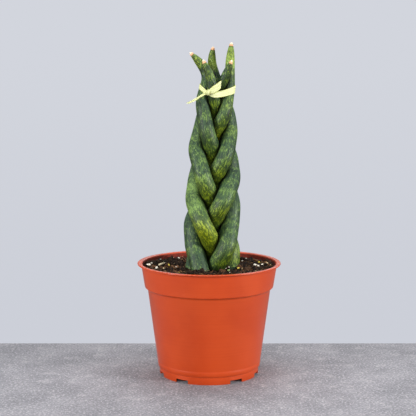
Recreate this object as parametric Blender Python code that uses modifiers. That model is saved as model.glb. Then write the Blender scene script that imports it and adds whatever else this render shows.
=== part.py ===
"""Cylindrical snake plant in a nursery pot: five round spear leaves plaited together and tied with raffia.

Metres, +Z up. The origin is on the pot's axis, in the plane that the pot stands on, and the front is -Y.
"""

import math
import random
from collections import namedtuple

import bmesh
import bpy
import numpy as np
from mathutils import Matrix, Vector, noise

# Pot: a turned shell with a flange at the rim, a deep collar, a tapered body and a notched foot
RIM_RADIUS = 0.0600
RIM_TOP = 0.0942
RIM_EDGE = 0.0011
COLLAR_TOP_RADIUS = 0.0568
COLLAR_FOOT_RADIUS = 0.0539
COLLAR_FOOT_Z = 0.0739
BODY_TOP_RADIUS = 0.0515
BODY_TOP_Z = 0.0722
BODY_FOOT_RADIUS = 0.0429
FOOT_Z = 0.0067
FOOT_RADIUS = 0.0418
FOOT_STEP = 0.0005
FOOT_WALL = 0.0016
WALL = 0.0011
FLOOR_UNDER = 0.0036
FLOOR_TOP = 0.0048
FLOOR_CORNER = 0.0011
FOOT_BEND_Z = 0.0079
BODY_BEND_Z = 0.0728
COLLAR_BEND_Z = 0.0749
POT_STEPS = 48
NOTCH_ANGLES = (32.5, 73.0, 107.0, 147.5)
NOTCH_WIDTH = 0.0116
NOTCH_HEIGHT = 0.0029
NOTCH_REACH = 0.008
DRAIN_RADIUS = 0.0034
DRAIN_CIRCLE = 0.0300
DRAIN_COUNT = 8
DRAIN_SIDES = 12

# Soil: fills the pot, with clods and bark bits fused to its top
GAP = 0.0003
SOIL_LEVEL = 0.0884
SOIL_BANK = 0.0028
SOIL_FALL = 0.0009
SOIL_RELIEF = 0.0011
SOIL_RINGS = 9
SOIL_STEPS = 40
SOIL_FOOT_INSET = 0.0016
SOIL_EDGE_SPREAD = 0.0017
CLODS_FROM_WALL = 0.0020
HOLE_REACH = 0.016
CLOD_COUNT = 60
CLOD_SEED = 11
CLOD_SIZES = (0.0015, 0.0032)

# Leaves: radii, and the rule of the plait
BASE_RADIUS = 0.0072
NECK_RADIUS = 0.0037
TIP_RADIUS = 0.0006
POINT_LENGTH = 0.0065
LEAF_BASE_Z = 0.058
LEAF_SIDES = 16
GROOVE_SHARE = 0.035
RING_SPACING = 0.0056
TIP_RINGS = (0.0, 0.0012, 0.003, 0.0055, 0.009)
PATH_STEP = 0.003
CROWN_FROM = 0.232
CROWN_HELD = 0.244
PLAIT_DEPTHS = ((0.060, 0.0080), (0.100, 0.0115), (0.150, 0.0110), (0.200, 0.0095), (0.236, 0.0065))
LEAF_CLEARANCE = 0.0007

# Heights and x where each leaf turns back at an edge of the plait, from its top down, then (height, x, y)
# points up to its tip; thickening is the length over which the leaf grows to its full radius
Leaf = namedtuple("Leaf", "name thickening turns crown")
LEAVES = (
    Leaf(
        "leaf_left_tip",
        0.069,
        ((0.312, 0.0170), (0.226, -0.0040), (0.129, 0.0155), (0.044, -0.0080)),
        (
            (0.2445, -0.0010, 0.0040),
            (0.2505, -0.0004, 0.0045),
            (0.2565, -0.0038, 0.0045),
            (0.2620, -0.0092, 0.0040),
            (0.2680, -0.0163, 0.0030),
        ),
    ),
    Leaf(
        "leaf_white_tip",
        0.078,
        ((0.281, 0.0160), (0.193, -0.0076), (0.096, 0.0142), (0.003, 0.0000)),
        (
            (0.2430, 0.0126, -0.0040),
            (0.2480, 0.0134, -0.0055),
            (0.2525, 0.0147, -0.0070),
            (0.2575, 0.0172, -0.0085),
            (0.2620, 0.0186, -0.0095),
        ),
    ),
    Leaf(
        "leaf_back_tip",
        0.079,
        ((0.296, -0.0080), (0.201, 0.0158), (0.113, -0.0088), (0.025, 0.0080)),
        (
            (0.2430, 0.0070, 0.0085),
            (0.2505, 0.0043, 0.0105),
            (0.2605, 0.0015, 0.0105),
            (0.2655, 0.0022, 0.0100),
            (0.2736, 0.0036, 0.0090),
        ),
    ),
    Leaf(
        "leaf_front_tip",
        0.066,
        ((0.259, 0.0000), (0.165, 0.0112), (0.083, -0.0126), (-0.010, 0.0040)),
        (
            (0.2360, 0.0048, -0.0070),
            (0.2430, 0.0026, -0.0078),
            (0.2500, 0.0008, -0.0085),
            (0.2575, -0.0030, -0.0095),
            (0.2622, -0.0052, -0.0100),
        ),
    ),
    Leaf(
        "leaf_right_tip",
        0.086,
        ((0.330, -0.0080), (0.2355, 0.0156), (0.162, -0.0074), (0.066, 0.0110)),
        (
            (0.2430, 0.0162, 0.0000),
            (0.2500, 0.0170, 0.0010),
            (0.2620, 0.0173, 0.0015),
            (0.2700, 0.0178, 0.0015),
            (0.2765, 0.0184, 0.0015),
        ),
    ),
)

# Settling the plait: (rounds, smoothing, pull to the drawn x, pull to the middle in depth, hold on the crown)
SETTLING = (
    (1000, 0.20, 0.15, 0.006, 0.15),
    (500, 0.08, 0.05, 0.003, 0.15),
    (800, 0.045, 0.012, 0.001, 0.01),
    (500, 0.03, 0.0005, 0.0004, 0.01),
)
REACH = 0.016
PUSH_ACROSS = 0.35
PUSH_DEEP = 1.3
LEAST_APART = 0.0005

# Tie: a raffia strip round the top of the plait, its knot and its two tails
RAFFIA = 0.0007
TIE_Z = 0.2338
TIE_LOW_X = 0.0045
TIE_BACK_RISE = 0.20
TIE_LEFT_CURVE = 32.0
TIE_SIDES = 40
TIE_HALF_WIDTH = 0.0023
TIE_MARGIN = 0.0025
TIE_WIDENING = 0.035
KNOT_X = -0.0006
KNOT_Z = 0.2362
KNOT_RADII = (0.0021, 0.0016, 0.0022)
# Each tail's two edges, as (x, forward of the knot, height) from the knot outward
WIDE_TAIL = (
    ((0.0, 0.0002, 0.2376), (0.0032, 0.0012, 0.2406), (0.0070, 0.0020, 0.2432), (0.0105, 0.0024, 0.2458)),
    ((0.0004, 0.0002, 0.2346), (0.0042, 0.0014, 0.2352), (0.0080, 0.0024, 0.2372), (0.0101, 0.0028, 0.2392)),
)
THIN_TAIL = (
    ((0.0, 0.0, 0.2374), (-0.0060, 0.0012, 0.2342), (-0.0112, 0.0014, 0.2309), (-0.0156, 0.0008, 0.2282)),
    ((0.0004, 0.0, 0.2354), (-0.0052, 0.0016, 0.2326), (-0.0106, 0.0016, 0.2292), (-0.0160, 0.0006, 0.2268)),
)


def clear_scene():
    for old in list(bpy.data.objects):
        bpy.data.objects.remove(old, do_unlink=True)


def new_collection(name, shown=True):
    made = bpy.data.collections.new(name)
    made.hide_render = not shown
    bpy.context.scene.collection.children.link(made)
    return made


def principled(name, colour, roughness, metallic=0.0):
    made = bpy.data.materials.new(name)
    made.use_nodes = True
    shader = made.node_tree.nodes["Principled BSDF"]
    shader.inputs["Base Color"].default_value = (*colour, 1.0)
    shader.inputs["Roughness"].default_value = roughness
    shader.inputs["Metallic"].default_value = metallic
    return made


def add_object(name, mesh, collection, material=None):
    made = bpy.data.objects.new(name, mesh)
    collection.objects.link(made)
    if material:
        mesh.materials.append(material)
    return made


def mesh_of(name, bm):
    bmesh.ops.recalc_face_normals(bm, faces=bm.faces)
    mesh = bpy.data.meshes.new(name)
    bm.to_mesh(mesh)
    bm.free()
    return mesh


def add_cutter(name, mesh, collection):
    cutter = add_object(name, mesh, collection)
    cutter.hide_render = True
    cutter.display_type = "WIRE"
    return cutter


def cut(target, cutter, solver="EXACT"):
    modifier = target.modifiers.new(cutter.name, "BOOLEAN")
    modifier.operation = "DIFFERENCE"
    modifier.solver = solver
    modifier.object = cutter


def smooth_shaded(mesh, angle=40.0):
    mesh.shade_smooth()
    mesh.set_sharp_from_angle(angle=math.radians(angle))


def applied(target):
    """Replaces the object's mesh by what its modifiers make of it."""
    bpy.context.view_layer.update()
    graph = bpy.context.evaluated_depsgraph_get()
    mesh = bpy.data.meshes.new_from_object(target.evaluated_get(graph))
    target.modifiers.clear()
    target.data = mesh
    return mesh


def turned(name, profile, steps, collection, material=None):
    """A solid turned from (radius, height) points that run down its outer side."""
    bm = bmesh.new()
    corners = [bm.verts.new((radius, 0.0, height)) for radius, height in profile]
    for start, end in zip(corners, corners[1:]):
        bm.edges.new((start, end))
    mesh = bpy.data.meshes.new(name)
    bm.to_mesh(mesh)
    bm.free()
    made = add_object(name, mesh, collection, material)
    screw = made.modifiers.new("turn", "SCREW")
    screw.steps = steps
    screw.render_steps = steps
    screw.use_merge_vertices = True
    screw.merge_threshold = 0.00005
    return made


def pot_profile():
    """From the middle of the floor up the inside, over the rim and down the outside to the foot."""
    flange_under = RIM_TOP - RIM_EDGE
    return (
        (0.0, FLOOR_TOP),
        (FOOT_RADIUS - WALL - FLOOR_CORNER, FLOOR_TOP),
        (FOOT_RADIUS - WALL, FLOOR_TOP + FLOOR_CORNER),
        (BODY_FOOT_RADIUS - WALL, FOOT_BEND_Z),
        (BODY_TOP_RADIUS - WALL, BODY_BEND_Z),
        (COLLAR_FOOT_RADIUS - WALL, COLLAR_BEND_Z),
        (COLLAR_TOP_RADIUS - WALL, RIM_TOP - 0.0020),
        (COLLAR_TOP_RADIUS - 0.6 * WALL, RIM_TOP - 0.0008),
        (COLLAR_TOP_RADIUS + 0.0004, RIM_TOP - 0.0001),
        (COLLAR_TOP_RADIUS + 0.0012, RIM_TOP),
        (RIM_RADIUS - 0.0008, RIM_TOP - 0.0001),
        (RIM_RADIUS - 0.0002, RIM_TOP - 0.0003),
        (RIM_RADIUS, RIM_TOP - 0.5 * RIM_EDGE),
        (RIM_RADIUS - 0.0002, flange_under + 0.0001),
        (RIM_RADIUS - 0.0008, flange_under - 0.0001),
        (COLLAR_TOP_RADIUS + 0.0006, flange_under - 0.0003),
        (COLLAR_TOP_RADIUS, flange_under - 0.0010),
        (COLLAR_FOOT_RADIUS + 0.0001, COLLAR_FOOT_Z + 0.0008),
        (COLLAR_FOOT_RADIUS - 0.0006, COLLAR_FOOT_Z),
        (BODY_TOP_RADIUS, BODY_TOP_Z),
        (BODY_FOOT_RADIUS, FOOT_Z),
        (FOOT_RADIUS, FOOT_Z - FOOT_STEP),
        (FOOT_RADIUS - 0.0002, 0.0),
        (FOOT_RADIUS - FOOT_WALL, 0.0),
        (FOOT_RADIUS - FOOT_WALL, FLOOR_UNDER),
        (0.0, FLOOR_UNDER),
    )


def make_pot(collection, cutters):
    plastic = principled("pot_plastic", (0.55, 0.075, 0.022), 0.42)
    pot = turned("pot", pot_profile(), POT_STEPS, collection, plastic)
    bm = bmesh.new()
    for angle in NOTCH_ANGLES:
        for side in (-1, 1):
            turn = Matrix.Rotation(math.radians(side * angle - 90.0), 4, "Z")
            place = turn @ Matrix.Translation((FOOT_RADIUS, 0.0, 0.0))
            size = Matrix.Diagonal((NOTCH_REACH, NOTCH_WIDTH, 2 * NOTCH_HEIGHT, 1.0))
            bmesh.ops.create_cube(bm, size=1.0, matrix=place @ size)
    cut(pot, add_cutter("notch_cutter", mesh_of("notch_cutter", bm), cutters))
    bm = bmesh.new()
    for k in range(DRAIN_COUNT):
        turn = Matrix.Rotation(2 * math.pi * (k + 0.5) / DRAIN_COUNT, 4, "Z")
        place = turn @ Matrix.Translation((DRAIN_CIRCLE, 0.0, FLOOR_UNDER))
        bmesh.ops.create_cone(
            bm,
            cap_ends=True,
            segments=DRAIN_SIDES,
            radius1=DRAIN_RADIUS,
            radius2=DRAIN_RADIUS,
            depth=5 * (FLOOR_TOP - FLOOR_UNDER),
            matrix=place,
        )
    cut(pot, add_cutter("drain_cutter", mesh_of("drain_cutter", bm), cutters))
    smooth_shaded(applied(pot))


def leaf_radius(from_tip, thickening):
    point = 1 - np.exp(-from_tip / POINT_LENGTH)
    body = 1 - np.exp(-((from_tip / thickening) ** 2))
    return TIP_RADIUS + (NECK_RADIUS - TIP_RADIUS) * point + (BASE_RADIUS - NECK_RADIUS) * body


def drawn_path(leaf):
    """Points up one leaf: a flat plait's weave, then the crown points.

    Between two turns the leaf crosses over in x, in front in the upper half and behind in the lower half.
    """
    turns = np.array(sorted(leaf.turns))
    crown = np.array(leaf.crown)
    tip_z = crown[-1, 0]
    z = np.arange(LEAF_BASE_Z, tip_z - 0.6 * PATH_STEP, PATH_STEP)
    z = np.append(z, tip_z)
    below = np.clip(np.searchsorted(turns[:, 0], z, side="right") - 1, 0, len(turns) - 2)
    low, high = turns[below], turns[below + 1]
    share = (z - low[:, 0]) / (high[:, 0] - low[:, 0])
    x = low[:, 1] + (high[:, 1] - low[:, 1]) * 0.5 * (1 - np.cos(math.pi * share))
    y = np.sin(2 * math.pi * share) * np.interp(z, *np.array(PLAIT_DEPTHS).T)
    x_from, y_from = np.interp(CROWN_FROM, z, x), np.interp(CROWN_FROM, z, y)
    crown = np.vstack([(CROWN_FROM, x_from, y_from), crown])
    above = z > CROWN_FROM
    x[above] = np.interp(z[above], crown[:, 0], crown[:, 1])
    y[above] = np.interp(z[above], crown[:, 0], crown[:, 2])
    return np.stack([x, y, z], axis=1)


def lengths_to_tip(path):
    along = np.concatenate([[0.0], np.cumsum(np.linalg.norm(np.diff(path, axis=0), axis=1))])
    return along[-1] - along


def settled_paths():
    """Pushes the drawn leaves apart until they lie against each other, and smooths them as it goes."""
    drawn = [drawn_path(leaf) for leaf in LEAVES]
    radii = [leaf_radius(lengths_to_tip(path), leaf.thickening) for path, leaf in zip(drawn, LEAVES)]
    owner = np.concatenate([np.full(len(path), k) for k, path in enumerate(drawn)])
    start = np.concatenate(drawn)
    points = start.copy()
    radius = np.concatenate(radii)
    near = np.abs(points[:, None, 2] - points[None, :, 2]) < REACH
    first, second = np.nonzero((owner[:, None] < owner[None, :]) & near)
    needed = radius[first] + radius[second] + LEAF_CLEARANCE
    rise = points[first, 2] - points[second, 2]
    inner = np.nonzero((owner[1:-1] == owner[:-2]) & (owner[1:-1] == owner[2:]))[0] + 1
    feet = np.nonzero(np.diff(owner, prepend=-1))[0]
    in_crown = points[:, 2] > CROWN_HELD
    for rounds, smoothing, pull_x, pull_y, crown_hold in SETTLING:
        hold_x = np.where(in_crown, crown_hold, pull_x)
        hold_y = np.where(in_crown, crown_hold, pull_y)
        target_y = np.where(in_crown, start[:, 1], 0.0)
        for _ in range(rounds):
            apart = points[first, :2] - points[second, :2]
            flat = np.maximum(np.hypot(apart[:, 0], apart[:, 1]), LEAST_APART)
            short = needed - np.hypot(flat, rise)
            hit = short > 0
            step = apart[hit] * (0.5 * short[hit] / flat[hit])[:, None]
            push = np.zeros((len(points), 2))
            count = np.zeros(len(points))
            np.add.at(push, first[hit], step)
            np.add.at(push, second[hit], -step)
            np.add.at(count, first[hit], 1)
            np.add.at(count, second[hit], 1)
            points[:, :2] += push / np.maximum(count, 1)[:, None] * (PUSH_ACROSS, PUSH_DEEP)
            middle = 0.5 * (points[inner - 1, :2] + points[inner + 1, :2])
            points[inner, :2] += smoothing * (middle - points[inner, :2])
            points[feet, :2] += smoothing * (points[feet + 1, :2] - points[feet, :2])
            points[:, 0] += hold_x * (start[:, 0] - points[:, 0])
            points[:, 1] += hold_y * (target_y - points[:, 1])
    return [points[owner == k] for k in range(len(LEAVES))], radii


def ring_stations(path, radii):
    """Centres, radii and lengths to the tip for the leaf's rings: even along it, closer at the point."""
    to_tip = lengths_to_tip(path)
    length = to_tip[0]
    body = length - TIP_RINGS[-1]
    count = round(body / RING_SPACING)
    wanted = np.concatenate([np.linspace(length, TIP_RINGS[-1], count + 1), TIP_RINGS[-2::-1]])
    centres = np.stack([np.interp(-wanted, -to_tip, path[:, axis]) for axis in range(3)], axis=1)
    return centres, np.interp(-wanted, -to_tip, radii)


def frames_along(centres):
    """Two directions across the leaf at each centre, carried along it without twist."""
    tangents = np.gradient(centres, axis=0)
    tangents /= np.linalg.norm(tangents, axis=1)[:, None]
    across = []
    side = np.array([1.0, 0.0, 0.0])
    for tangent in tangents:
        side = side - tangent * side.dot(tangent)
        side /= np.linalg.norm(side)
        across.append((side, np.cross(tangent, side)))
    return across


def lofted(name, centres, radii, groove):
    """A closed body of round rings, with every other corner set in by the groove's share of the radius."""
    bm = bmesh.new()
    rings = []
    for centre, radius, (side, other) in zip(centres, radii, frames_along(centres)):
        ring = []
        for k in range(LEAF_SIDES):
            angle = 2 * math.pi * k / LEAF_SIDES
            reach = radius * (1 - groove * (k % 2))
            outward = math.cos(angle) * side + math.sin(angle) * other
            ring.append(bm.verts.new(Vector(centre + reach * outward)))
        rings.append(ring)
    for low, high in zip(rings, rings[1:]):
        for k in range(LEAF_SIDES):
            after = (k + 1) % LEAF_SIDES
            bm.faces.new((low[k], low[after], high[after], high[k]))
    bm.faces.new(rings[0][::-1])
    bm.faces.new(rings[-1])
    bmesh.ops.triangulate(bm, faces=bm.faces)
    return mesh_of(name, bm)


def make_leaves(collection, cutters, paths, all_radii):
    """The five leaves, and for each a wider copy of its foot that cuts its hole in the soil."""
    skin = principled("leaf_skin", (0.075, 0.150, 0.055), 0.45)
    holes = []
    for leaf, path, radii in zip(LEAVES, paths, all_radii):
        centres, ring_radii = ring_stations(path, radii)
        mesh = lofted(leaf.name, centres, ring_radii, GROOVE_SHARE)
        smooth_shaded(mesh, 50.0)
        add_object(leaf.name, mesh, collection, skin)
        foot = centres[:, 2] < SOIL_LEVEL + HOLE_REACH
        hole_centres = centres[foot].copy()
        hole_centres[0, 2] -= GAP
        hole_radii = (ring_radii[foot] + GAP) / math.cos(math.pi / LEAF_SIDES)
        hole_mesh = lofted(leaf.name + "_hole", hole_centres, hole_radii, 0.0)
        holes.append(add_cutter(leaf.name + "_hole", hole_mesh, cutters))
    return holes


def soil_height(x, y):
    """The soil's top: banked up towards both sides, falling to the back, and uneven all over."""
    bank = SOIL_BANK * (x / COLLAR_FOOT_RADIUS) ** 2 - SOIL_FALL * y / COLLAR_FOOT_RADIUS
    coarse = noise.noise(Vector((x, y, 0.0)) * 70.0)
    fine = noise.noise(Vector((x, y, 0.02)) * 190.0)
    return SOIL_LEVEL + bank + SOIL_RELIEF * (coarse + 0.6 * fine)


def soil_profile():
    top_radius = COLLAR_FOOT_RADIUS - WALL + SOIL_EDGE_SPREAD - GAP
    rings = [(top_radius * k / SOIL_RINGS, SOIL_LEVEL) for k in range(SOIL_RINGS + 1)]
    return rings + [
        (COLLAR_FOOT_RADIUS - WALL - GAP, COLLAR_BEND_Z),
        (BODY_TOP_RADIUS - WALL - GAP, BODY_BEND_Z),
        (BODY_FOOT_RADIUS - WALL - GAP, FOOT_BEND_Z),
        (FOOT_RADIUS - WALL - SOIL_FOOT_INSET, FLOOR_TOP + GAP),
        (0.0, FLOOR_TOP + GAP),
    ]


def add_clods(rough):
    """Clods and bark bits set into the top of the soil, each a squashed 20-sided lump."""
    draw = random.Random(CLOD_SEED)
    clods = bpy.data.collections.new("clods")
    bpy.context.scene.collection.children.link(clods)
    reach = COLLAR_FOOT_RADIUS - WALL - CLODS_FROM_WALL
    for k in range(CLOD_COUNT):
        size = draw.uniform(*CLOD_SIZES)
        away = (reach - size) * math.sqrt(draw.uniform(0.03, 1.0))
        angle = draw.uniform(0.0, 2 * math.pi)
        x, y = away * math.cos(angle), away * math.sin(angle)
        place = Matrix.Translation((x, y, soil_height(x, y) + 0.15 * size))
        turn = Matrix.Rotation(draw.uniform(0.0, math.pi), 4, Vector((draw.random(), draw.random(), 1.0)))
        squash = Matrix.Diagonal((1.0, draw.uniform(0.55, 0.95), draw.uniform(0.45, 0.8), 1.0))
        bm = bmesh.new()
        bmesh.ops.create_icosphere(bm, subdivisions=1, radius=size)
        for vertex in bm.verts:
            vertex.co *= draw.uniform(0.8, 1.1)
        bmesh.ops.transform(bm, matrix=place @ turn @ squash, verts=bm.verts)
        add_object("clod_%02d" % k, mesh_of("clod", bm), clods)
    union = rough.modifiers.new("clods", "BOOLEAN")
    union.operation = "UNION"
    union.operand_type = "COLLECTION"
    union.collection = clods
    union.solver = "EXACT"
    applied(rough)
    for clod in list(clods.objects):
        bpy.data.objects.remove(clod, do_unlink=True)
    bpy.data.collections.remove(clods)


def keep_largest_piece(mesh):
    """Drops the scraps of clod that a leaf's hole cuts off."""
    bm = bmesh.new()
    bm.from_mesh(mesh)
    bmesh.ops.remove_doubles(bm, verts=bm.verts, dist=0.000001)
    unseen = set(bm.verts)
    pieces = []
    while unseen:
        piece, edge = set(), [unseen.pop()]
        while edge:
            vertex = edge.pop()
            piece.add(vertex)
            for link in vertex.link_edges:
                other = link.other_vert(vertex)
                if other in unseen:
                    unseen.remove(other)
                    edge.append(other)
        pieces.append(piece)
    largest = max(pieces, key=len)
    bmesh.ops.delete(bm, geom=[vertex for vertex in bm.verts if vertex not in largest], context="VERTS")
    bmesh.ops.triangulate(bm, faces=bm.faces)
    bm.to_mesh(mesh)
    bm.free()


def make_soil(collection, holes):
    mix = principled("soil_mix", (0.030, 0.019, 0.011), 0.95)
    soil = turned("soil", soil_profile(), SOIL_STEPS, collection, mix)
    mesh = applied(soil)
    for vertex in mesh.vertices:
        if vertex.co.z > SOIL_LEVEL - 0.0001:
            vertex.co.z = soil_height(vertex.co.x, vertex.co.y)
    add_clods(soil)
    # The leaves' holes run into each other, and EXACT loses the soil's body there
    for hole in holes:
        cut(soil, hole, "MANIFOLD")
    keep_largest_piece(applied(soil))
    soil.data.shade_flat()


def tie_height(x, y, front_y):
    """Height of the raffia loop's middle: lowest in front, right of the knot, and climbing to the left."""
    left = max(0.0, TIE_LOW_X - x)
    return TIE_Z + TIE_BACK_RISE * (y - front_y) + TIE_LEFT_CURVE * left**2


def loop_outline(centres, radii):
    """(x, y) corners of the tightest convex loop round the leaves where the tie passes, and its front y."""
    level = np.abs(centres[:, 2] - TIE_Z) < 2 * TIE_HALF_WIDTH
    front_y = (centres[level, 1] - radii[level]).min()
    heights = np.array([tie_height(x, y, front_y) for x, y, _ in centres])
    held = np.abs(centres[:, 2] - heights) < TIE_HALF_WIDTH + TIE_MARGIN
    angles = np.arange(TIE_SIDES) * 2 * math.pi / TIE_SIDES
    normals = np.stack([np.cos(angles), np.sin(angles)], axis=1)
    reach = (centres[held, :2] @ normals.T + radii[held, None]).max(axis=0) + GAP
    turn = angles[1]
    along = (np.roll(reach, -1) - reach * math.cos(turn)) / math.sin(turn)
    tangents = np.stack([-normals[:, 1], normals[:, 0]], axis=1)
    return reach[:, None] * normals + along[:, None] * tangents, front_y


def strip(name, upper, lower, closed=False):
    """A flat strip of raffia between two edges, given its thickness outward."""
    bm = bmesh.new()
    tops = [bm.verts.new(point) for point in upper]
    feet = [bm.verts.new(point) for point in lower]
    count = len(tops)
    for k in range(count if closed else count - 1):
        after = (k + 1) % count
        bm.faces.new((feet[k], feet[after], tops[after], tops[k]))
    mesh = bpy.data.meshes.new(name)
    bm.to_mesh(mesh)
    bm.free()
    return mesh


def smoothed(points, between=3):
    """The same edge with rounded bends: a Catmull-Rom curve through its points."""
    points = [Vector(point) for point in points]
    ends = [2 * points[0] - points[1]] + points + [2 * points[-1] - points[-2]]
    curve = []
    for before, start, end, after in zip(ends, ends[1:], ends[2:], ends[3:]):
        for k in range(between):
            t = k / between
            curve.append(
                0.5
                * (
                    2 * start
                    + (end - before) * t
                    + (2 * before - 5 * start + 4 * end - after) * t**2
                    + (3 * start - before - 3 * end + after) * t**3
                )
            )
    return curve + [points[-1]]


def make_tie(collection, paths, all_radii):
    outline, front_y = loop_outline(np.concatenate(paths), np.concatenate(all_radii))
    upper, lower = [], []
    for x, y in outline:
        middle = tie_height(x, y, front_y)
        half = TIE_HALF_WIDTH + TIE_WIDENING * x
        upper.append((x, y, middle + half))
        lower.append((x, y, middle - half))
    in_front = outline[outline[:, 1] < 0]
    in_front = in_front[np.argsort(in_front[:, 0])]
    knot_y = float(np.interp(KNOT_X, in_front[:, 0], in_front[:, 1])) - KNOT_RADII[1]
    pieces = bpy.data.collections.new("tie_pieces")
    bpy.context.scene.collection.children.link(pieces)
    meshes = [("loop", strip("loop", upper, lower, closed=True), 1.0)]
    for name, edges in (("wide_tail", WIDE_TAIL), ("thin_tail", THIN_TAIL)):
        placed = [[(x + KNOT_X, knot_y - forward, z) for x, forward, z in smoothed(edge)] for edge in edges]
        meshes.append((name, strip(name, *placed), 0.0))
    for name, mesh, offset in meshes:
        piece = add_object(name, mesh, pieces)
        thick = piece.modifiers.new("thickness", "SOLIDIFY")
        thick.thickness = RAFFIA
        thick.offset = offset
        applied(piece)
    bm = bmesh.new()
    bmesh.ops.create_icosphere(bm, subdivisions=2, radius=1.0)
    place = Matrix.Translation((KNOT_X, knot_y, KNOT_Z)) @ Matrix.Diagonal((*KNOT_RADII, 1.0))
    bmesh.ops.transform(bm, matrix=place, verts=bm.verts)
    tie = add_object("tie", mesh_of("tie", bm), collection, principled("raffia", (0.82, 0.84, 0.52), 0.55))
    union = tie.modifiers.new("pieces", "BOOLEAN")
    union.operation = "UNION"
    union.operand_type = "COLLECTION"
    union.collection = pieces
    union.solver = "EXACT"
    smooth_shaded(applied(tie))
    for piece in list(pieces.objects):
        bpy.data.objects.remove(piece, do_unlink=True)
    bpy.data.collections.remove(pieces)


def main():
    clear_scene()
    plant = new_collection("cylindrical_snake_plant")
    cutters = new_collection("cutters", shown=False)
    make_pot(plant, cutters)
    paths, radii = settled_paths()
    holes = make_leaves(plant, cutters, paths, radii)
    make_soil(plant, holes)
    make_tie(plant, paths, radii)


main()
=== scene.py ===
import math
import random

import bmesh
import bpy
import numpy as np
from mathutils import Matrix, Vector, noise
from mathutils.bvhtree import BVHTree
from mathutils.geometry import convex_hull_2d


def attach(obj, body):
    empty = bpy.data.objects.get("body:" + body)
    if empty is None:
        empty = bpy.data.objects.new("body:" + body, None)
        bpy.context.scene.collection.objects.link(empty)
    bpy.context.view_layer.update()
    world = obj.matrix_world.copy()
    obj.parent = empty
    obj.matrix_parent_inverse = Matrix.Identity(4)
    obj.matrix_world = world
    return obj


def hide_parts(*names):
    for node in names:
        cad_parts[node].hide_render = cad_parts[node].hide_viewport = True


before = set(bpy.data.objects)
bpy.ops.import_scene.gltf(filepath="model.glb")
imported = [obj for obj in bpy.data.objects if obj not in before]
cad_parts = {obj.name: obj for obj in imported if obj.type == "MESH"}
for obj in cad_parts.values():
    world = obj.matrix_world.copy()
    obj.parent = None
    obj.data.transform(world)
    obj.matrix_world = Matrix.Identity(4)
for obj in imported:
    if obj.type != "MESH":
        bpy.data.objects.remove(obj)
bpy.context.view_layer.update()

# Camera and the slab that the pot stands on
IMAGE = 416
FOCAL_PX = 1050.0
SENSOR = 36.0
CAMERA_AT = Vector((-0.0009, -0.869, 0.250))
CAMERA_DOWN = math.radians(7.22)
SLAB_BACK = 0.094
SLAB_REACH = 0.62
SLAB_THICK = 0.04
SLAB_BEVEL = 0.0008

# Lights, as (name, place, size, power), all turned to one point on the plait
LIGHTS = (
    ("overhead", (0.0, 0.12, 1.15), (0.8, 0.6), 8.0),
    ("left_box", (-1.10, -0.68, 0.36), (0.22, 0.40), 14.0),
    ("right_box", (1.16, -0.55, 0.36), (0.22, 0.40), 17.0),
    ("rear_fill", (0.25, 1.5, 0.80), (1.0, 0.5), 3.5),
    ("front_fill", (-0.15, -1.9, 0.85), (1.2, 0.6), 14.2),
)
LIGHTS_AIM = Vector((0.0, 0.0, 0.14))
WORLD_FILL = 0.36

# Pot
RIM_RADIUS = 0.0600
RIM_TOP = 0.0942
RIM_EDGE = 0.0011
COLLAR_TOP = 0.0568
COLLAR_FOOT = 0.0539
COLLAR_FOOT_Z = 0.0739
BODY_TOP = 0.0515
BODY_TOP_Z = 0.0722
BODY_FOOT = 0.0429
FOOT_Z = 0.0067
FOOT = 0.0418
FOOT_STEP = 0.0005
LINE_Z = 0.0112
LINE_OUT = (LINE_Z - FOOT_Z) * (BODY_TOP - BODY_FOOT) / (BODY_TOP_Z - FOOT_Z)
FOOT_WALL = 0.0016
WALL = 0.0011
FLOOR_UNDER = 0.0036
FLOOR_TOP = 0.0048
POT_STEPS = 240
INNER_SLOPE = (COLLAR_TOP - COLLAR_FOOT) / (RIM_TOP - COLLAR_FOOT_Z)
INNER_FADE = (0.0008, 0.0004)
SHOULDER_FADE = (0.0005, 0.0010)
LIP_WIDTH = 0.0017
LIP_DROP = 0.0020
NOTCH_ANGLES = (32.5, 73.0, 107.0, 147.5)
NOTCH_WIDTH = 0.0116
NOTCH_HEIGHT = 0.0029
NOTCH_DEPTH = 0.008
DRAIN_RADIUS = 0.0034
DRAIN_CIRCLE = 0.0300
DRAIN_COUNT = 8
DRAIN_DEPTH = 0.006
DRAIN_SIDES = 32
SHARP_EDGE = math.radians(38.0)

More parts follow.
